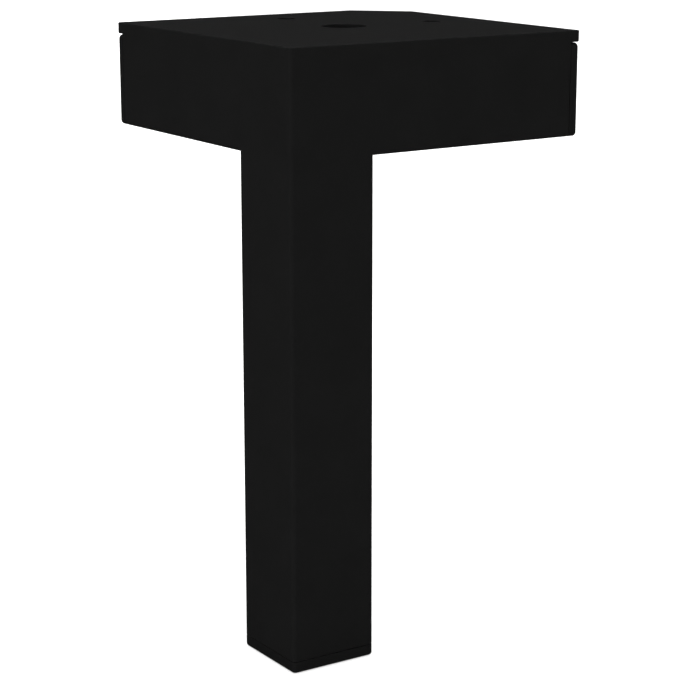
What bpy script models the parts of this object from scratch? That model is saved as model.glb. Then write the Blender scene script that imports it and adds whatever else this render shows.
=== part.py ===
"""Corner furniture leg: a welded frame of square steel tube, with a mounting plate and plastic caps.

The leg stands upright, and the piece of furniture that it carries sits on its plate. The origin is
on the top face of the plate, on the axis of the post, and +Z is up. The right arm leaves the post
along +X and the left arm along +Y, so the leg's two outer faces look towards -X and -Y. The leg is
its own mirror image across the upright plane x = y. All lengths are in metres.
"""

import math

import bmesh
import bpy
from mathutils import Matrix, Vector

# Driving dimensions
TUBE_SIDE = 0.040
TUBE_WALL = 0.0015
TUBE_CORNER = 0.002  # outside corner radius of the tube
HEIGHT = 0.260  # floor to the top face of the plate
REACH = 0.145  # outer corner to the end of each arm, which is also the plate's side
PLATE_THICKNESS = 0.005
PLATE_CROP = 0.0212  # how much of each side the cut across the plate's inner corner takes
PLATE_CORNER = 0.0006
PLATE_ARRIS = 0.0004
CENTRE_HOLE = 0.020
SCREW_HOLE = 0.0085
SCREW_HOLE_INSET = 0.0255  # hole centre to the nearest edge of the plate
ARM_CAP_HEAD = 0.0043
FOOT_CAP_HEAD = 0.005
CAP_EDGE = 0.0012  # radius round the cap's outer face
CAP_BACK_EDGE = 0.0004
CAP_SKIN = 0.003  # depth of solid plastic behind the cap's outer face
SHANK_LENGTH = 0.018
SHANK_SIDE = 0.0336
SHANK_WALL = 0.002
FIN_COUNT = 3
FIN_LENGTH = 0.0032
FIN_TIP = 0.0006
FILLET_LEG = 0.0035  # size of the fillet welds on the hidden sides
FILLET_CROWN = 0.0004
FILLET_SETBACK = 0.006  # how far a fillet under an arm stays behind the outer faces
FILLET_END_MARGIN = 0.010
GAP = 0.0003  # clearance between pieces that touch

# Derived dimensions
HALF = TUBE_SIDE / 2
BORE_SIDE = TUBE_SIDE - 2 * TUBE_WALL
BORE_CORNER = TUBE_CORNER - TUBE_WALL
ARM_END = REACH - HALF
FLOOR = -HEIGHT
PLATE_UNDERSIDE = -PLATE_THICKNESS
TUBE_TOP = PLATE_UNDERSIDE - GAP
ARM_UNDERSIDE = TUBE_TOP - TUBE_SIDE
ARM_AXIS_HEIGHT = TUBE_TOP - HALF
ARM_START = HALF + GAP
ARM_TUBE_LENGTH = ARM_END - ARM_CAP_HEAD - GAP - ARM_START
POST_START = FLOOR + FOOT_CAP_HEAD + GAP
POST_LENGTH = TUBE_TOP - POST_START
PLATE_CENTRE = REACH / 2 - HALF
SCREW_HOLE_REACH = ARM_END - SCREW_HOLE_INSET

# Fineness
CORNER_STEPS = 4
EDGE_STEPS = 3
ARRIS_STEPS = 2
CROWN_STEPS = 4
LARGE_HOLE_SIDES = 48
SMALL_HOLE_SIDES = 32
SHARP_ANGLE = math.radians(30)  # edges that turn by more than this are shaded as sharp
ARRIS_ANGLE = math.radians(60)  # edges that turn by more than this are rounded on the plate

POWDER_COAT = {"colour": (0.012, 0.012, 0.012), "roughness": 0.62, "metallic": 0.0}
CAP_PLASTIC = {"colour": (0.009, 0.009, 0.009), "roughness": 0.50, "metallic": 0.0}

UP = Vector((0, 0, 1))
DOWN = -UP
RIGHT = Vector((1, 0, 0))  # along the right arm
LEFT = Vector((0, 1, 0))  # along the left arm


def clear_scene():
    for item in list(bpy.data.objects):
        bpy.data.objects.remove(item)


def add_material(item, finish):
    """Gives the object a Principled material of its own."""
    material = bpy.data.materials.new(item.name + "_surface")
    material.use_nodes = True
    shader = material.node_tree.nodes["Principled BSDF"]
    shader.inputs["Base Color"].default_value = (*finish["colour"], 1)
    shader.inputs["Roughness"].default_value = finish["roughness"]
    shader.inputs["Metallic"].default_value = finish["metallic"]
    item.data.materials.append(material)


def add_object(name, mesh_maker, finish):
    """Makes a mesh object from a filled bmesh."""
    bmesh.ops.recalc_face_normals(mesh_maker, faces=mesh_maker.faces)
    mesh = bpy.data.meshes.new(name)
    mesh_maker.to_mesh(mesh)
    mesh_maker.free()
    mesh.shade_smooth()
    mesh.set_sharp_from_angle(angle=SHARP_ANGLE)
    item = bpy.data.objects.new(name, mesh)
    bpy.context.scene.collection.objects.link(item)
    add_material(item, finish)
    return item


def aim(item, corner, across, along):
    """Puts the object's origin at corner, its local +X along across and its local +Z along along."""
    turn = Matrix((across, along.cross(across), along)).transposed()
    item.location = corner
    item.rotation_mode = "QUATERNION"
    item.rotation_quaternion = turn.to_quaternion()


def rounded_outline(corners):
    """Outline through corners of (x, y, radius), each replaced by an arc, in the order given."""
    points = []
    for index, (x, y, radius) in enumerate(corners):
        here = Vector((x, y))
        before = Vector(corners[index - 1][:2])
        after = Vector(corners[(index + 1) % len(corners)][:2])
        back = (before - here).normalized()
        ahead = (after - here).normalized()
        opening = back.angle(ahead)
        centre = here + (back + ahead).normalized() * radius / math.sin(opening / 2)
        start = here + back * radius / math.tan(opening / 2) - centre
        sweep = math.pi - opening
        for step in range(CORNER_STEPS + 1):
            turn = Matrix.Rotation(sweep * step / CORNER_STEPS, 2)
            points.append(centre + turn @ start)
    return points


def square_ring(side, corner, height):
    """Square outline round the Z axis, anticlockwise from above, at a height."""
    half = side / 2
    signs = ((-1, -1), (1, -1), (1, 1), (-1, 1))
    outline = rounded_outline([(x * half, y * half, corner) for x, y in signs])
    return [Vector((point.x, point.y, height)) for point in outline]


def skin(name, rings, finish, joined):
    """Solid from a stack of rings. Joined, the last ring meets the first; otherwise both are filled."""
    mesh_maker = bmesh.new()
    loops = [[mesh_maker.verts.new(point) for point in ring] for ring in rings]
    pairs = list(zip(loops, loops[1:]))
    if joined:
        pairs.append((loops[-1], loops[0]))
    else:
        mesh_maker.faces.new(loops[0])
        mesh_maker.faces.new(loops[-1])
    for lower, upper in pairs:
        for index in range(len(lower)):
            following = (index + 1) % len(lower)
            mesh_maker.faces.new((lower[index], lower[following], upper[following], upper[index]))
    return add_object(name, mesh_maker, finish)


def square_tube(name, length):
    """Tube open at both ends, from the origin up to length."""
    rings = [
        square_ring(TUBE_SIDE, TUBE_CORNER, 0),
        square_ring(TUBE_SIDE, TUBE_CORNER, length),
        square_ring(BORE_SIDE, BORE_CORNER, length),
        square_ring(BORE_SIDE, BORE_CORNER, 0),
    ]
    return skin(name, rings, POWDER_COAT, joined=True)


def rounded_rim(radius, height, side_direction):
    """Rings from a cap's side wall to a flat face at height, whose wall lies in side_direction."""
    rings = []
    for step in range(EDGE_STEPS + 1):
        angle = math.pi / 2 * step / EDGE_STEPS
        inset = radius * (1 - math.cos(angle))
        level = height + side_direction * radius * (1 - math.sin(angle))
        rings.append(square_ring(TUBE_SIDE - 2 * inset, TUBE_CORNER - inset, level))
    return rings


def tube_cap(name, head):
    """Finned tube insert. Its outer face is at the origin looking along +Z; its shank points to -Z."""
    shank_end = head + SHANK_LENGTH
    hollow_side = SHANK_SIDE - 2 * SHANK_WALL
    fin_side = BORE_SIDE - 2 * GAP
    rings = [
        square_ring(hollow_side, BORE_CORNER, -CAP_SKIN),
        square_ring(hollow_side, BORE_CORNER, -shank_end),
        square_ring(SHANK_SIDE, BORE_CORNER, -shank_end),
    ]
    spacing = SHANK_LENGTH / (FIN_COUNT + 1)
    for fin in range(FIN_COUNT):
        root = spacing / 2 + spacing * fin - shank_end
        rings.append(square_ring(SHANK_SIDE, BORE_CORNER, root))
        rings.append(square_ring(fin_side, BORE_CORNER, root + FIN_LENGTH - FIN_TIP))
        rings.append(square_ring(fin_side, BORE_CORNER, root + FIN_LENGTH))
        rings.append(square_ring(SHANK_SIDE, BORE_CORNER, root + FIN_LENGTH + FIN_TIP))
    rings.append(square_ring(SHANK_SIDE, BORE_CORNER, -head))
    rings += reversed(rounded_rim(CAP_BACK_EDGE, -head, 1))
    rings += rounded_rim(CAP_EDGE, 0, -1)
    return skin(name, rings, CAP_PLASTIC, joined=False)


def add_modifier(item, kind, **settings):
    modifier = item.modifiers.new(kind.title(), kind)
    for setting, value in settings.items():
        setattr(modifier, setting, value)


def cut_hole(plate, name, x, y, diameter, sides):
    """Cuts a round hole through the plate with a cutter that the finished part leaves out."""
    mesh_maker = bmesh.new()
    bmesh.ops.create_cone(
        mesh_maker,
        cap_ends=True,
        segments=sides,
        radius1=diameter / 2,
        radius2=diameter / 2,
        depth=2 * PLATE_THICKNESS,
    )
    cutter = add_object(f"{name}_cutter", mesh_maker, POWDER_COAT)
    cutter.location = (x, y, PLATE_UNDERSIDE + PLATE_THICKNESS / 2)
    cutter.hide_render = True
    cutter.display_type = "WIRE"
    add_modifier(plate, "BOOLEAN", object=cutter, operation="DIFFERENCE", solver="EXACT")


def mounting_plate():
    """Square plate with its inner corner cut off, a large centre hole and two screw holes."""
    crop = ARM_END - PLATE_CROP
    outline = rounded_outline(
        [
            (-HALF, -HALF, TUBE_CORNER),
            (ARM_END, -HALF, PLATE_CORNER),
            (ARM_END, crop, PLATE_CORNER),
            (crop, ARM_END, PLATE_CORNER),
            (-HALF, ARM_END, PLATE_CORNER),
        ]
    )
    heights = (PLATE_UNDERSIDE, 0)
    rings = [[point.to_3d() + UP * height for point in outline] for height in heights]
    plate = skin("mounting_plate", rings, POWDER_COAT, joined=False)
    add_modifier(
        plate,
        "BEVEL",
        width=PLATE_ARRIS,
        segments=ARRIS_STEPS,
        limit_method="ANGLE",
        angle_limit=ARRIS_ANGLE,
    )
    cut_hole(plate, "centre_hole", PLATE_CENTRE, PLATE_CENTRE, CENTRE_HOLE, LARGE_HOLE_SIDES)
    cut_hole(plate, "right_hole", SCREW_HOLE_REACH, PLATE_CENTRE, SCREW_HOLE, SMALL_HOLE_SIDES)
    cut_hole(plate, "left_hole", PLATE_CENTRE, SCREW_HOLE_REACH, SCREW_HOLE, SMALL_HOLE_SIDES)


def weld_bead(name, profile, length):
    """Bead with a constant profile of (x, y) points, from the origin up to length."""
    rings = [[Vector((x, y, height)) for x, y in profile] for height in (0, length)]
    return skin(name, rings, POWDER_COAT, joined=False)


def fillet_profile():
    """Fillet in the corner between local +X and +Y, with a slightly crowned face."""
    first = Vector((FILLET_LEG, GAP))
    last = Vector((GAP, FILLET_LEG))
    outward = Vector((1, 1)).normalized()
    points = [(GAP, GAP)]
    for step in range(CROWN_STEPS + 1):
        share = step / CROWN_STEPS
        arch = 4 * share * (1 - share)  # 0 at the fillet's two toes and 1 half way
        point = first.lerp(last, share) + outward * FILLET_CROWN * arch
        points.append((point.x, point.y))
    return points


def seam_profile():
    """Fill of the groove along a tube's rounded corner. Its two flat sides are the tube's own faces."""
    clear_radius = TUBE_CORNER + GAP
    side = TUBE_CORNER - math.sqrt(clear_radius**2 - TUBE_CORNER**2)
    start = math.atan2(-TUBE_CORNER, side - TUBE_CORNER)
    end = math.atan2(side - TUBE_CORNER, -TUBE_CORNER)
    points = [(0, 0)]
    for step in range(CROWN_STEPS + 1):
        angle = start + (end - start) * step / CROWN_STEPS
        x = TUBE_CORNER + clear_radius * math.cos(angle)
        y = TUBE_CORNER + clear_radius * math.sin(angle)
        points.append((x, y))
    return points


def arm(side, forward, outward):
    """One arm with its cap and welds. forward runs along the arm, outward leaves its outer face."""
    inward = -outward
    tube = square_tube(f"{side}_arm_tube", ARM_TUBE_LENGTH)
    aim(tube, forward * ARM_START + UP * ARM_AXIS_HEIGHT, inward, forward)
    cap = tube_cap(f"{side}_arm_end_cap", ARM_CAP_HEAD)
    aim(cap, forward * ARM_END + UP * ARM_AXIS_HEIGHT, inward, forward)

    tube_end = ARM_START + ARM_TUBE_LENGTH
    outer_edge = outward * HALF
    place_bead(
        weld_bead(f"{side}_arm_post_seam_weld", seam_profile(), TUBE_SIDE - TUBE_CORNER),
        outer_edge + forward * HALF + UP * TUBE_TOP,
        (-forward, inward, DOWN),
    )
    seam_start = ARM_START + TUBE_CORNER
    place_bead(
        weld_bead(f"{side}_arm_plate_seam_weld", seam_profile(), tube_end - seam_start - TUBE_CORNER),
        outer_edge + forward * seam_start + UP * TUBE_TOP,
        (inward, DOWN, forward),
    )
    place_bead(
        weld_bead(f"{side}_arm_underside_weld", fillet_profile(), TUBE_SIDE - FILLET_SETBACK - TUBE_CORNER),
        outer_edge + inward * FILLET_SETBACK + forward * HALF + UP * ARM_UNDERSIDE,
        (forward, DOWN, inward),
    )
    fillet_start = HALF + FILLET_LEG + 2 * GAP
    place_bead(
        weld_bead(f"{side}_arm_plate_weld", fillet_profile(), tube_end - FILLET_END_MARGIN - fillet_start),
        inward * HALF + forward * fillet_start + UP * PLATE_UNDERSIDE,
        (inward, DOWN, forward),
    )


def place_bead(bead, corner, directions):
    """Aims a bead's run along the third direction, its profile lying between the first two."""
    first, second, run = directions
    if first.cross(second).dot(run) > 0:
        aim(bead, corner, first, run)
    else:
        aim(bead, corner, second, run)


def inner_corner_weld():
    """Upright fillet between the two arms, where both meet the post's inner edge."""
    start = ARM_UNDERSIDE + TUBE_CORNER
    end = PLATE_UNDERSIDE - FILLET_LEG - 2 * GAP
    bead = weld_bead("inner_corner_weld", fillet_profile(), end - start)
    place_bead(bead, (RIGHT + LEFT) * HALF + UP * start, (RIGHT, LEFT, UP))


def post():
    tube = square_tube("post_tube", POST_LENGTH)
    tube.location = UP * POST_START
    foot = tube_cap("foot_cap", FOOT_CAP_HEAD)
    aim(foot, UP * FLOOR, RIGHT, DOWN)


def build():
    clear_scene()
    mounting_plate()
    post()
    arm("right", RIGHT, -LEFT)
    arm("left", LEFT, -RIGHT)
    inner_corner_weld()


build()
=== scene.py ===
"""Looks of the corner furniture leg: finished meshes, powder coat, moulded plastic, studio and camera.

Every piece stands in the place of its CAD node, in the same frame: the origin is on the plate's top
face on the post's axis, +Z is up, the right arm runs along +X and the left arm along +Y. Metres.
"""

import math

import bmesh
import bpy
from mathutils import Matrix, Vector


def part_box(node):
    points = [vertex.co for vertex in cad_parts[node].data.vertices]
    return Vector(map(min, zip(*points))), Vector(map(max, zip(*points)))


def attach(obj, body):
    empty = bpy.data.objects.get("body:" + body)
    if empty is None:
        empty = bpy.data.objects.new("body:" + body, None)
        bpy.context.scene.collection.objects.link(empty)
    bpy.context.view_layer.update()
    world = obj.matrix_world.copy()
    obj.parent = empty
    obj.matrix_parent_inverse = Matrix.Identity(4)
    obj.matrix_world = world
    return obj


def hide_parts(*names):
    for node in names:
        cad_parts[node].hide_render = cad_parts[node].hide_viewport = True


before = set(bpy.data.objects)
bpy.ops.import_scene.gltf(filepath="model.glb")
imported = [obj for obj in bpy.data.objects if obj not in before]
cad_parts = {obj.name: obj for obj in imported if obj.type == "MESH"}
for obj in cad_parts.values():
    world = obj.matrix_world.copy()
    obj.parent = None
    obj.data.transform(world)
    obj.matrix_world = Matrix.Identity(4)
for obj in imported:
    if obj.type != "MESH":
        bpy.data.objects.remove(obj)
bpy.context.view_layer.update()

# Sizes that the frame's boxes give
PLATE_LOW, PLATE_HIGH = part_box("mounting_plate")
POST_LOW, POST_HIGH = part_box("post_tube")
ARM_LOW, ARM_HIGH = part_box("right_arm_tube")
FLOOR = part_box("foot_cap")[0].z
ARM_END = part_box("right_arm_end_cap")[1].x
TUBE_SIDE = POST_HIGH.x - POST_LOW.x
HALF = TUBE_SIDE / 2
PLATE_UNDERSIDE = PLATE_LOW.z
ARM_TUBE_END = ARM_HIGH.x
ARM_AXIS_HEIGHT = (ARM_LOW.z + ARM_HIGH.z) / 2

# Sizes inside the boxes, as the CAD nodes have them
TUBE_WALL = 0.0015
TUBE_CORNER = 0.002
BORE_SIDE = TUBE_SIDE - 2 * TUBE_WALL
BORE_CORNER = TUBE_CORNER - TUBE_WALL
PLATE_CORNER = 0.0006
PLATE_CROP = 0.0212
CENTRE_HOLE = 0.020
SCREW_HOLE = 0.0085
SCREW_HOLE_INSET = 0.0255
SHANK_LENGTH = 0.018
SHANK_SIDE = 0.0336
SHANK_WALL = 0.002
CAP_SKIN = 0.003
FIN_COUNT = 3
FIN_LENGTH = 0.0032
FIN_TIP = 0.0006
FILLET_LEG = 0.0035
GAP = 0.0003  # between a cap's fins and the tube's wall

# Finishing detail. The waves are sums of sines, each given as (amount, wavelength, start).
CORNER_STEPS = 10
SMALL_CORNER_STEPS = 5
ARRIS_STEPS = 4
HOLE_STEPS = 96
PLATE_ARRIS = 0.0005
HOLE_ARRIS = 0.0002
TUBE_ARRIS = 0.0003
CAP_EDGE = 0.0012
CAP_EDGE_STEPS = 7
CAP_BACK_EDGE = 0.0004
CAP_STANDOFF = 0.0001  # the seam between a cap's head and the tube's end
CAP_CROWN = 0.00018
CAP_CROWN_STEPS = 6
RIPPLE_PITCH = 0.0017
RIPPLE_HEIGHT = 0.00013
RIPPLE_SWEEP = 0.0013  # how far a ripple at the toes lags behind its middle
RIPPLE_SAMPLES = 8
RIPPLE_SKEW = 0.7  # below 1, a ripple rises faster than it falls
RIPPLE_WAVES = ((0.18, 0.0153, 0.0), (0.11, 0.0064, 0.0))
FILLET_CROWN = 0.0004
CROWN_WAVES = ((0.10, 0.0270, 1.3), (0.06, 0.0110, 0.0))
LEG_WAVES = ((0.035, 0.0202, 0.0), (0.02, 0.0077, 2.0))
FILLET_STEPS = 12
FILLET_TAPER = 0.0028
THINNEST_END = 0.02
MERGE_DISTANCE = 1e-7
SHARP = math.radians(40)  # edges that turn by more than this are shaded as sharp
GROUND_WELD_SHARP = math.radians(30)
BEAD_SHARP = math.radians(60)
FLAT_FACE_WEIGHT = 100  # the most weight that shading beside a rounded edge can give to large faces

UP = Vector((0, 0, 1))
DOWN = -UP
RIGHT = Vector((1, 0, 0))
LEFT = Vector((0, 1, 0))

# The camera stands in front of the outer corner, a little above the plate, and looks down at the leg
CAMERA_PLACE = Vector((-0.4428, -0.7032, 0.0756))
CAMERA_YAW = math.radians(33.42)
CAMERA_PITCH = math.radians(13.72)
CAMERA_LENS = 106.0
CAMERA_NEAREST = 0.01

# Lamps, as (name, place, side in metres, power in watts). They all face the lit point.
LIT_POINT = Vector((0.05, 0.05, -0.1))
FILLS = (
    ("overhead_fill", (0.1, 0.1, 3.2), 3.2, 185.0),
    ("left_fill", (-3.2, 0.2, 0.1), 2.0, 78.0),
    ("right_fill", (3.2, 0.9, 0.3), 2.0, 78.0),
    ("back_fill", (0.6, 3.2, 0.3), 2.0, 80.0),
)
SOFTBOXES = (
    ("upper_softbox", (0.6, 0.6, 3.0), 1.2, 9.0),
    ("left_softbox", (-3.2, 0.2, 0.4), 2.0, 1.2),
    ("right_softbox", (3.2, 0.2, 0.5), 2.0, 1.8),
    ("back_softbox", (0.2, 3.2, 0.7), 2.0, 1.2),
)
WHITE = (1, 1, 1, 1)
SURROUNDINGS_STRENGTH = 1.0
FLOOR_REACH = 30
FLOOR_COLOUR = (0.45, 0.45, 0.45, 1)
FLOOR_GLOW = 0.55
FLOOR_ROUGHNESS = 0.9

# Coatings. Tones are the greys that the mottling runs between, and roughness is the grain's range.
# mottle, peel and grain are noise scales per metre, shares are parts of the tones' range, heights are
# in metres, and edge_polish is how much less rough a worn edge is.
MOTTLE_DETAIL = 4
PEEL_DETAIL = 2
GRAIN_DETAIL = 3
NOISE_SPREAD = (0.3, 0.7)  # the range that most of a noise lies in
EDGE_PATCHINESS = (0.2, 1.0)
POWDER_COAT = {
    "tones": (0.0050, 0.0062),
    "roughness": (0.56, 0.68),
    "mottle": 60.0,
    "mottle_share": 0.45,
    "peel": 700.0,
    "peel_height": 0.000012,
    "grain": 2600.0,
    "grain_height": 0.000004,
    "edge_share": 0.12,
    "edge_polish": 0.03,
}
POWDER_COAT_ON_WELD = {
    **POWDER_COAT,
    "tones": (0.0050, 0.0066),
    "roughness": (0.52, 0.64),
}
MOULDED_PLASTIC = {
    "tones": (0.0048, 0.0060),
    "roughness": (0.48, 0.60),
    "mottle": 90.0,
    "mottle_share": 0.30,
    "peel": 1900.0,
    "peel_height": 0.000004,
    "grain": 4200.0,
    "grain_height": 0.000003,
    "edge_share": 0.15,
    "edge_polish": 0.04,
}


# ---------------------------------------------------------------- outlines and rings
# A ring is a list of (point, wear): wear is 1 along the middle of an edge and 0 on a flat face.


def arc_wear(step, steps):
    return math.sin(math.pi * step / steps)


def rounded_outline(corners):
    """Outline through (x, y, radius, steps) corners, each replaced by an arc, as (point, wear)."""
    outline = []
    for index, (x, y, radius, steps) in enumerate(corners):
        here = Vector((x, y))
        back = (Vector(corners[index - 1][:2]) - here).normalized()
        ahead = (Vector(corners[(index + 1) % len(corners)][:2]) - here).normalized()
        opening = back.angle(ahead)
        centre = here + (back + ahead).normalized() * radius / math.sin(opening / 2)
        start = here + back * radius / math.tan(opening / 2) - centre
        for step in range(steps + 1):
            turn = Matrix.Rotation((math.pi - opening) * step / steps, 2)
            outline.append((centre + turn @ start, arc_wear(step, steps)))
    return outline


def square_ring(side, corner, height, edge=0.0):
    """Square ring round the Z axis at a height. edge is the wear of the edge that the ring follows."""
    half = side / 2
    signs = ((-1, -1), (1, -1), (1, 1), (-1, 1))
    outline = rounded_outline([(x * half, y * half, corner, CORNER_STEPS) for x, y in signs])
    return [(point.to_3d() + UP * height, max(wear, edge)) for point, wear in outline]


def rounding(radius, steps):
    """Profile of a rounded edge, from a flat face round to the wall beside it, as (inset, drop, wear).

    inset is the distance in from the wall, and drop the distance down from the face.
    """
    profile = []
    for step in range(steps + 1):
        angle = math.pi / 2 * step / steps
        inset = radius * (1 - math.sin(angle))
        drop = radius * (1 - math.cos(angle))
        profile.append((inset, drop, arc_wear(step, steps)))
    return profile


def rim_rings(height, wall_direction, radius, steps):
    """Rings over a rounded rim, from a square tube's wall to a flat end at height."""
    rings = []
    for inset, drop, wear in reversed(rounding(radius, steps)):
        level = height + wall_direction * drop
        rings.append(square_ring(TUBE_SIDE - 2 * inset, TUBE_CORNER - inset, level, wear))
    return rings


# ---------------------------------------------------------------- meshes


def finish_mesh(name, shape, material, node, sharp=SHARP):
    """Makes a piece from a bmesh. It stands for its CAD node and rides on the leg's one body."""
    bmesh.ops.remove_doubles(shape, verts=shape.verts, dist=MERGE_DISTANCE)
    bmesh.ops.recalc_face_normals(shape, faces=shape.faces)
    mesh = bpy.data.meshes.new(name)
    shape.to_mesh(mesh)
    shape.free()
    mesh.shade_smooth()
    mesh.set_sharp_from_angle(angle=sharp)
    mesh.materials.append(material)
    piece = bpy.data.objects.new(name, mesh)
    bpy.context.scene.collection.objects.link(piece)
    normals = piece.modifiers.new("flat_faces_stay_flat", "WEIGHTED_NORMAL")
    normals.keep_sharp = True
    normals.weight = FLAT_FACE_WEIGHT
    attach(piece, "root")
    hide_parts(node)
    return piece


def aim(piece, corner, across, along):
    """Moves a mesh so that its origin is at corner, its +X along across and its +Z along along.

    The object itself stays at the frame's origin, so the coating's texture runs on from piece to piece.
    """
    turn = Matrix((across, along.cross(across), along)).transposed()
    piece.data.transform(Matrix.Translation(corner) @ turn.to_4x4())


def add_ring(shape, wear_layer, ring):
    loop = []
    for point, wear in ring:
        vert = shape.verts.new(point)
        vert[wear_layer] = wear
        loop.append(vert)
    return loop


def bridge(shape, lower, upper):
    """Quads between two loops of equal length."""
    for index in range(len(lower)):
        following = (index + 1) % len(lower)
        shape.faces.new((lower[index], lower[following], upper[following], upper[index]))


def skin(rings, joined):
    """bmesh from a stack of rings. Joined, the last ring meets the first; otherwise both are filled."""
    shape = bmesh.new()
    wear_layer = shape.verts.layers.float.new("wear")
    loops = [add_ring(shape, wear_layer, ring) for ring in rings]
    for lower, upper in zip(loops, loops[1:]):
        bridge(shape, lower, upper)
    if joined:
        bridge(shape, loops[-1], loops[0])
    else:
        shape.faces.new(loops[0])
        shape.faces.new(loops[-1])
    return shape


def square_tube(name, length, material, start_arris, end_arris):
    """Open tube along +Z. An arris is the rounding of a free end; a welded end has none."""
    rings = []
    if start_arris:
        rings += reversed(rim_rings(0, 1, start_arris, ARRIS_STEPS))
    else:
        rings.append(square_ring(TUBE_SIDE, TUBE_CORNER, 0))
    if end_arris:
        rings += rim_rings(length, -1, end_arris, ARRIS_STEPS)
    else:
        rings.append(square_ring(TUBE_SIDE, TUBE_CORNER, length))
    rings.append(square_ring(BORE_SIDE, BORE_CORNER, length))
    rings.append(square_ring(BORE_SIDE, BORE_CORNER, 0))
    return finish_mesh(name + "_coated", skin(rings, joined=True), material, name)


def tube_cap(name, head, material):
    """Moulded insert with a softly crowned face at the origin looking along +Z and a finned shank."""
    shank_end = head + SHANK_LENGTH
    fin_side = BORE_SIDE - 2 * GAP
    hollow_side = SHANK_SIDE - 2 * SHANK_WALL
    rings = [
        square_ring(hollow_side, BORE_CORNER, -CAP_SKIN),
        square_ring(hollow_side, BORE_CORNER, -shank_end),
        square_ring(SHANK_SIDE, BORE_CORNER, -shank_end),
    ]
    spacing = SHANK_LENGTH / (FIN_COUNT + 1)
    for fin in range(FIN_COUNT):
        root = spacing / 2 + spacing * fin - shank_end
        rings.append(square_ring(SHANK_SIDE, BORE_CORNER, root))
        rings.append(square_ring(fin_side, BORE_CORNER, root + FIN_LENGTH - FIN_TIP, edge=1.0))
        rings.append(square_ring(fin_side, BORE_CORNER, root + FIN_LENGTH, edge=1.0))
        rings.append(square_ring(SHANK_SIDE, BORE_CORNER, root + FIN_LENGTH + FIN_TIP))
    rings.append(square_ring(SHANK_SIDE, BORE_CORNER, -head))
    rings += reversed(rim_rings(-head, 1, CAP_BACK_EDGE, ARRIS_STEPS))
    rings += rim_rings(-CAP_CROWN, -1, CAP_EDGE, CAP_EDGE_STEPS)
    face_side = TUBE_SIDE - 2 * CAP_EDGE
    face_corner = TUBE_CORNER - CAP_EDGE
    for step in range(1, CAP_CROWN_STEPS):
        share = 1 - step / CAP_CROWN_STEPS
        rings.append(square_ring(face_side * share, face_corner * share, -CAP_CROWN * share**2))
    return finish_mesh(name + "_moulded", skin(rings, joined=False), material, name)


# ---------------------------------------------------------------- mounting plate


def plate_outline():
    """The plate's outline, with points on its outer sides where the seam welds under it end."""
    crop = PLATE_HIGH.x - PLATE_CROP
    small = (PLATE_CORNER, SMALL_CORNER_STEPS)
    outline = rounded_outline(
        [
            (PLATE_LOW.x, PLATE_LOW.y, TUBE_CORNER, CORNER_STEPS),
            (PLATE_HIGH.x, PLATE_LOW.y, *small),
            (PLATE_HIGH.x, crop, *small),
            (crop, PLATE_HIGH.y, *small),
            (PLATE_LOW.x, PLATE_HIGH.y, *small),
        ]
    )
    stops = (ARM_TUBE_END - PLATE_ARRIS, ARM_TUBE_END, ARM_TUBE_END + PLATE_ARRIS)
    after_corner = CORNER_STEPS + 1
    right_stops = [(Vector((stop, PLATE_LOW.y)), 0.0) for stop in stops]
    left_stops = [(Vector((PLATE_LOW.x, stop)), 0.0) for stop in reversed(stops)]
    return outline[:after_corner] + right_stops + outline[after_corner:] + left_stops


def outline_inward(outline):
    """The direction into the plate at each point of its outline."""
    directions = []
    for index, (point, _) in enumerate(outline):
        before = (point - outline[index - 1][0]).normalized()
        after = (outline[(index + 1) % len(outline)][0] - point).normalized()
        along = (before + after).normalized()
        directions.append(Vector((-along.y, along.x)))
    return directions


def is_flush(point):
    """True along the two outer faces, where the plate's lower edge is welded and ground flat."""
    on_outer_face = min(point.x - PLATE_LOW.x, point.y - PLATE_LOW.y) < TUBE_CORNER
    past_weld = max(point.x, point.y) > ARM_TUBE_END + PLATE_ARRIS / 2
    return on_outer_face and not past_weld


def plate_wall_rings():
    """Rings down the plate's rounded side, from its top face to its underside."""
    outline = plate_outline()
    inward = outline_inward(outline)
    profile = rounding(PLATE_ARRIS, ARRIS_STEPS)
    rings = []
    for inset, drop, edge in profile:
        ring = []
        for (point, wear), into in zip(outline, inward):
            place = (point + into * inset).to_3d() + UP * (PLATE_HIGH.z - drop)
            ring.append((place, max(wear, edge)))
        rings.append(ring)
    for inset, rise, edge in reversed(profile):
        ring = []
        for (point, wear), into in zip(outline, inward):
            rounded = 0 if is_flush(point) else 1
            place = (point + into * inset * rounded).to_3d() + UP * (PLATE_LOW.z + rise * rounded)
            ring.append((place, max(wear, edge * rounded)))
        rings.append(ring)
    return rings


def hole_rings(x, y, diameter):
    """Rings through a hole, from the plate's top face to its underside, with rounded rims."""
    upper_rim = rounding(HOLE_ARRIS, ARRIS_STEPS)
    thickness = PLATE_HIGH.z - PLATE_LOW.z
    lower_rim = [(flare, thickness - drop, wear) for flare, drop, wear in reversed(upper_rim)]
    rings = []
    for flare, drop, wear in upper_rim + lower_rim:
        radius = diameter / 2 + flare
        ring = []
        for step in range(HOLE_STEPS):
            angle = -math.tau * step / HOLE_STEPS
            place = Vector((x + radius * math.cos(angle), y + radius * math.sin(angle)))
            ring.append((place.to_3d() + UP * (PLATE_HIGH.z - drop), wear))
        rings.append(ring)
    return rings


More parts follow.
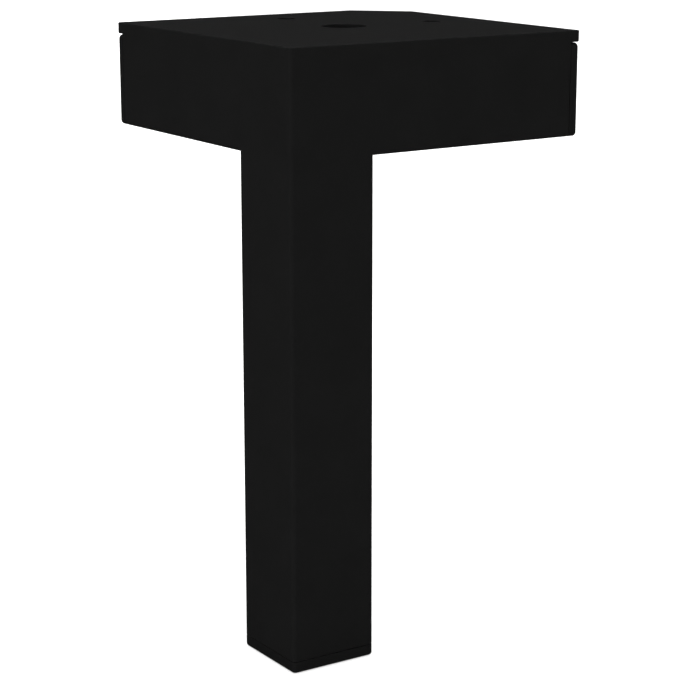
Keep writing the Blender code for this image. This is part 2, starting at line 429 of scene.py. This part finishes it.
def mounting_plate(material):
    """Plate built from its side wall, its three hole walls and two flat faces with the holes in them."""
    centre = (PLATE_LOW.x + PLATE_HIGH.x) / 2
    far = PLATE_HIGH.x - SCREW_HOLE_INSET
    stacks = [
        plate_wall_rings(),
        hole_rings(centre, centre, CENTRE_HOLE),
        hole_rings(far, centre, SCREW_HOLE),
        hole_rings(centre, far, SCREW_HOLE),
    ]
    shape = bmesh.new()
    wear_layer = shape.verts.layers.float.new("wear")
    top_edges = []
    bottom_edges = []
    for rings in stacks:
        loops = [add_ring(shape, wear_layer, ring) for ring in rings]
        for lower, upper in zip(loops, loops[1:]):
            bridge(shape, lower, upper)
        for loop, edges in ((loops[0], top_edges), (loops[-1], bottom_edges)):
            edges += [shape.edges.get((loop[index - 1], loop[index])) for index in range(len(loop))]
    for edges in (top_edges, bottom_edges):
        bmesh.ops.triangle_fill(shape, use_beauty=True, edges=edges)
    finish_mesh("mounting_plate_coated", shape, material, "mounting_plate")


# ---------------------------------------------------------------- welds


def seam_weld(name, corner, directions, length, material, clearance=0.0, rounded_end=False):
    """Fill of the groove along a tube's rounded corner, ground flush with the faces beside it.

    directions are inward from the outer face, along that face over the groove, and along the run.
    The fill reaches back by clearance to the piece that the tube is welded to. A rounded end goes in
    with the rounding of the corner that it meets.
    """
    inward, over, run = directions
    arc = [(drop, inset) for inset, drop, _ in rounding(TUBE_CORNER, CORNER_STEPS)]
    stations = [(0.0, 0), (length, 0)]
    if rounded_end:
        stations = [(0.0, 0)] + [(length - arc[cut][1], cut) for cut in range(CORNER_STEPS)]
    rings = []
    for level, cut in stations:
        profile = [arc[max(index, cut)] for index in range(len(arc))]
        profile += [(TUBE_CORNER, -clearance), (arc[cut][0], -clearance)]
        ring = [corner + inward * depth + over * side + run * level for depth, side in profile]
        rings.append([(point, 0.0) for point in ring])
    shape = skin(rings, joined=False)
    finish_mesh(name + "_ground", shape, material, name, GROUND_WELD_SHARP)


def unevenness(run, waves):
    """Slow variation along a hand-laid bead: a sum of sines, each (amount, wavelength, start)."""
    total = 0.0
    for amount, wavelength, start in waves:
        total += amount * math.sin(math.tau * run / wavelength + start)
    return total


def bead_height(run, arch):
    """Height of a rippled bead over its flat fillet face. arch is 0 at the toes and 1 half way."""
    lag = RIPPLE_SWEEP * (1 - arch)
    ripple = (run + lag) / RIPPLE_PITCH + unevenness(run, RIPPLE_WAVES)
    crest = math.sin(math.pi * (ripple % 1.0) ** RIPPLE_SKEW)
    swell = 1 + unevenness(run, CROWN_WAVES)
    return arch * (FILLET_CROWN * swell + RIPPLE_HEIGHT * crest)


def end_taper(run, length):
    """How full the bead is near its ends, where it starts and stops in a rounded crater."""
    nearest = min(run, length - run)
    if nearest >= FILLET_TAPER:
        return 1.0
    return max(math.sqrt(1 - (1 - nearest / FILLET_TAPER) ** 2), THINNEST_END)


def fillet_weld(name, length, material):
    """Rippled fillet in the corner between local +X and +Y, running along +Z."""
    outward = Vector((1, 1)).normalized()
    count = round(length / RIPPLE_PITCH * RIPPLE_SAMPLES)
    rings = []
    for index in range(count + 1):
        run = length * index / count
        full = end_taper(run, length)
        leg = FILLET_LEG * full * (1 + unevenness(run, LEG_WAVES))
        first = Vector((leg, 0))
        last = Vector((0, leg))
        ring = [(UP * run, 0.0)]
        for step in range(FILLET_STEPS + 1):
            share = step / FILLET_STEPS
            arch = 4 * share * (1 - share)
            point = first.lerp(last, share) + outward * bead_height(run, arch) * full
            ring.append((point.to_3d() + UP * run, arch))
        rings.append(ring)
    shape = skin(rings, joined=False)
    return finish_mesh(name + "_bead", shape, material, name, BEAD_SHARP)


def place_bead(bead, corner, directions):
    """Aims a bead's run along the third direction, its profile lying between the first two."""
    first, second, run = directions
    if first.cross(second).dot(run) > 0:
        aim(bead, corner, first, run)
    else:
        aim(bead, corner, second, run)


# ---------------------------------------------------------------- materials


class Surface:
    """A Principled material, with short ways to add the nodes that feed it."""

    def __init__(self, name, roughness):
        self.material = bpy.data.materials.new(name)
        self.material.use_nodes = True
        self.tree = self.material.node_tree
        self.shader = self.tree.nodes["Principled BSDF"]
        self.feed(self.shader, "Roughness", roughness)

    def feed(self, node, socket, value):
        """Links a node's socket to another node's output, or sets it to a constant."""
        if isinstance(value, bpy.types.NodeSocket):
            self.tree.links.new(value, node.inputs[socket])
        else:
            node.inputs[socket].default_value = value

    def add(self, kind, inputs, **settings):
        node = self.tree.nodes.new(kind)
        for setting, value in settings.items():
            setattr(node, setting, value)
        for socket, value in inputs.items():
            self.feed(node, socket, value)
        return node

    def noise(self, scale, detail):
        """Noise in the frame's own coordinates, so that it runs on from piece to piece."""
        place = self.add("ShaderNodeTexCoord", {}).outputs["Object"]
        inputs = {"Vector": place, "Scale": scale, "Detail": detail}
        return self.add("ShaderNodeTexNoise", inputs).outputs["Fac"]

    def between(self, noise, low, high):
        """Spreads a noise from low to high."""
        inputs = {"Value": noise, "To Min": low, "To Max": high}
        inputs["From Min"], inputs["From Max"] = NOISE_SPREAD
        return self.add("ShaderNodeMapRange", inputs).outputs["Result"]

    def calculate(self, operation, first, second):
        return self.add("ShaderNodeMath", {0: first, 1: second}, operation=operation).outputs[0]


def coated_surface(name, texture):
    """Black coating: orange peel and grain, faint mottling, and a thinner, smoother film on edges."""
    surface = Surface(name, sum(texture["roughness"]) / 2)
    mottle = surface.noise(texture["mottle"], MOTTLE_DETAIL)
    peel = surface.noise(texture["peel"], PEEL_DETAIL)
    grain = surface.noise(texture["grain"], GRAIN_DETAIL)
    wear = surface.add("ShaderNodeAttribute", {}, attribute_name="wear").outputs["Fac"]
    thinned = surface.calculate("MULTIPLY", wear, surface.between(mottle, *EDGE_PATCHINESS))

    patches = surface.between(mottle, 0.0, texture["mottle_share"])
    edges = surface.calculate("MULTIPLY", thinned, texture["edge_share"])
    dark, light = [(tone, tone, tone, 1) for tone in texture["tones"]]
    colour = surface.add("ShaderNodeMix", {}, data_type="RGBA")
    surface.feed(colour, "Factor", surface.calculate("ADD", patches, edges))
    surface.feed(colour, "A", dark)
    surface.feed(colour, "B", light)
    surface.feed(surface.shader, "Base Color", colour.outputs["Result"])

    polish = surface.calculate("MULTIPLY", thinned, texture["edge_polish"])
    unworn = surface.between(grain, *texture["roughness"])
    surface.feed(surface.shader, "Roughness", surface.calculate("SUBTRACT", unworn, polish))

    peel_height = surface.calculate("MULTIPLY", peel, texture["peel_height"])
    grain_height = surface.calculate("MULTIPLY", grain, texture["grain_height"])
    height = surface.calculate("ADD", peel_height, grain_height)
    bump = surface.add("ShaderNodeBump", {"Height": height, "Strength": 1.0, "Distance": 1.0})
    surface.feed(surface.shader, "Normal", bump.outputs["Normal"])
    return surface.material


def make_materials():
    return {
        "steel": coated_surface("powder_coat", POWDER_COAT),
        "weld": coated_surface("powder_coat_on_weld", POWDER_COAT_ON_WELD),
        "plastic": coated_surface("moulded_plastic", MOULDED_PLASTIC),
    }


# ---------------------------------------------------------------- the leg


def arm(side, forward, outward, materials):
    """One arm with its cap and welds. forward runs along the arm, outward leaves its outer face."""
    inward = -outward
    steel = materials["steel"]
    weld = materials["weld"]
    tube = square_tube(f"{side}_arm_tube", ARM_TUBE_END - HALF, steel, 0, TUBE_ARRIS)
    aim(tube, forward * HALF + UP * ARM_AXIS_HEIGHT, inward, forward)
    cap_head = ARM_END - ARM_TUBE_END - CAP_STANDOFF
    cap = tube_cap(f"{side}_arm_end_cap", cap_head, materials["plastic"])
    aim(cap, forward * ARM_END + UP * ARM_AXIS_HEIGHT, inward, forward)

    outer_edge = outward * HALF + forward * HALF
    seam_weld(
        f"{side}_arm_post_seam_weld",
        outer_edge + UP * PLATE_UNDERSIDE,
        (inward, -forward, DOWN),
        PLATE_UNDERSIDE - ARM_LOW.z,
        steel,
        rounded_end=True,
    )
    seam_weld(
        f"{side}_arm_plate_seam_weld",
        outer_edge + UP * ARM_HIGH.z,
        (inward, DOWN, forward),
        ARM_TUBE_END - HALF,
        steel,
        clearance=PLATE_UNDERSIDE - ARM_HIGH.z,
    )

    underside_low, underside_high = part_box(f"{side}_arm_underside_weld")
    underside_length = (underside_high - underside_low).dot(Vector(abs(part) for part in inward))
    underside = fillet_weld(f"{side}_arm_underside_weld", underside_length, weld)
    underside_start = outer_edge + inward * (TUBE_SIDE - TUBE_CORNER - underside_length)
    place_bead(underside, underside_start + UP * ARM_LOW.z, (forward, DOWN, inward))
    fillet_low, fillet_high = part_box(f"{side}_arm_plate_weld")
    fillet_length = (fillet_high - fillet_low).dot(forward)
    fillet = fillet_weld(f"{side}_arm_plate_weld", fillet_length, weld)
    fillet_start = inward * HALF + forward * fillet_low.dot(forward) + UP * PLATE_UNDERSIDE
    place_bead(fillet, fillet_start, (inward, DOWN, forward))


def post(materials):
    """The upright tube and its foot cap. The post's axis is the Z axis."""
    tube = square_tube("post_tube", PLATE_UNDERSIDE - POST_LOW.z, materials["steel"], TUBE_ARRIS, 0)
    aim(tube, UP * POST_LOW.z, RIGHT, UP)
    foot = tube_cap("foot_cap", POST_LOW.z - FLOOR - CAP_STANDOFF, materials["plastic"])
    aim(foot, UP * FLOOR, RIGHT, DOWN)


def inner_corner_weld(materials):
    low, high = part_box("inner_corner_weld")
    bead = fillet_weld("inner_corner_weld", high.z - low.z, materials["weld"])
    place_bead(bead, (RIGHT + LEFT) * HALF + UP * low.z, (RIGHT, LEFT, UP))


# ---------------------------------------------------------------- studio


def studio_floor():
    """Pale floor under the foot, wide enough to fill the view behind the leg."""
    shape = bmesh.new()
    bmesh.ops.create_grid(shape, x_segments=1, y_segments=1, size=FLOOR_REACH)
    mesh = bpy.data.meshes.new("studio_floor")
    shape.to_mesh(mesh)
    shape.free()
    surface = Surface("pale_floor", FLOOR_ROUGHNESS)
    surface.feed(surface.shader, "Base Color", FLOOR_COLOUR)
    surface.feed(surface.shader, "Specular IOR Level", 0.0)
    surface.feed(surface.shader, "Emission Color", WHITE)
    surface.feed(surface.shader, "Emission Strength", FLOOR_GLOW)
    mesh.materials.append(surface.material)
    floor = bpy.data.objects.new("studio_floor", mesh)
    floor.location = UP * FLOOR
    floor.visible_glossy = False
    bpy.context.scene.collection.objects.link(floor)


def studio_world():
    """Even white surroundings that light the scene softly and leave the gloss to the lamps."""
    world = bpy.data.worlds.new("white_surroundings")
    world.use_nodes = True
    background = world.node_tree.nodes["Background"]
    background.inputs["Color"].default_value = WHITE
    background.inputs["Strength"].default_value = SURROUNDINGS_STRENGTH
    world.cycles_visibility.glossy = False
    bpy.context.scene.world = world


def softbox(name, place, size, power):
    """Square lamp that faces the leg and stays out of view itself."""
    lamp = bpy.data.lights.new(name, "AREA")
    lamp.shape = "SQUARE"
    lamp.size = size
    lamp.energy = power
    item = bpy.data.objects.new(name, lamp)
    item.location = place
    item.rotation_mode = "QUATERNION"
    item.rotation_quaternion = (LIT_POINT - Vector(place)).to_track_quat("-Z", "Y")
    item.visible_camera = False
    bpy.context.scene.collection.objects.link(item)
    return item


def studio_lights():
    """Large fills set the even tone of each face and leave no gloss. Weak softboxes add the sheen."""
    for lamp in FILLS:
        softbox(*lamp).visible_glossy = False
    for lamp in SOFTBOXES:
        softbox(*lamp)


def studio_camera():
    camera_data = bpy.data.cameras.new("camera")
    camera_data.lens = CAMERA_LENS
    camera_data.clip_start = CAMERA_NEAREST
    camera = bpy.data.objects.new("camera", camera_data)
    camera.location = CAMERA_PLACE
    camera.rotation_euler = (math.pi / 2 - CAMERA_PITCH, 0, -CAMERA_YAW)
    bpy.context.scene.collection.objects.link(camera)
    bpy.context.scene.camera = camera


def build():
    materials = make_materials()
    mounting_plate(materials["steel"])
    post(materials)
    arm("right", RIGHT, -LEFT, materials)
    arm("left", LEFT, -RIGHT, materials)
    inner_corner_weld(materials)
    studio_floor()
    studio_world()
    studio_lights()
    studio_camera()
    bpy.context.scene.view_settings.view_transform = "Standard"


build()
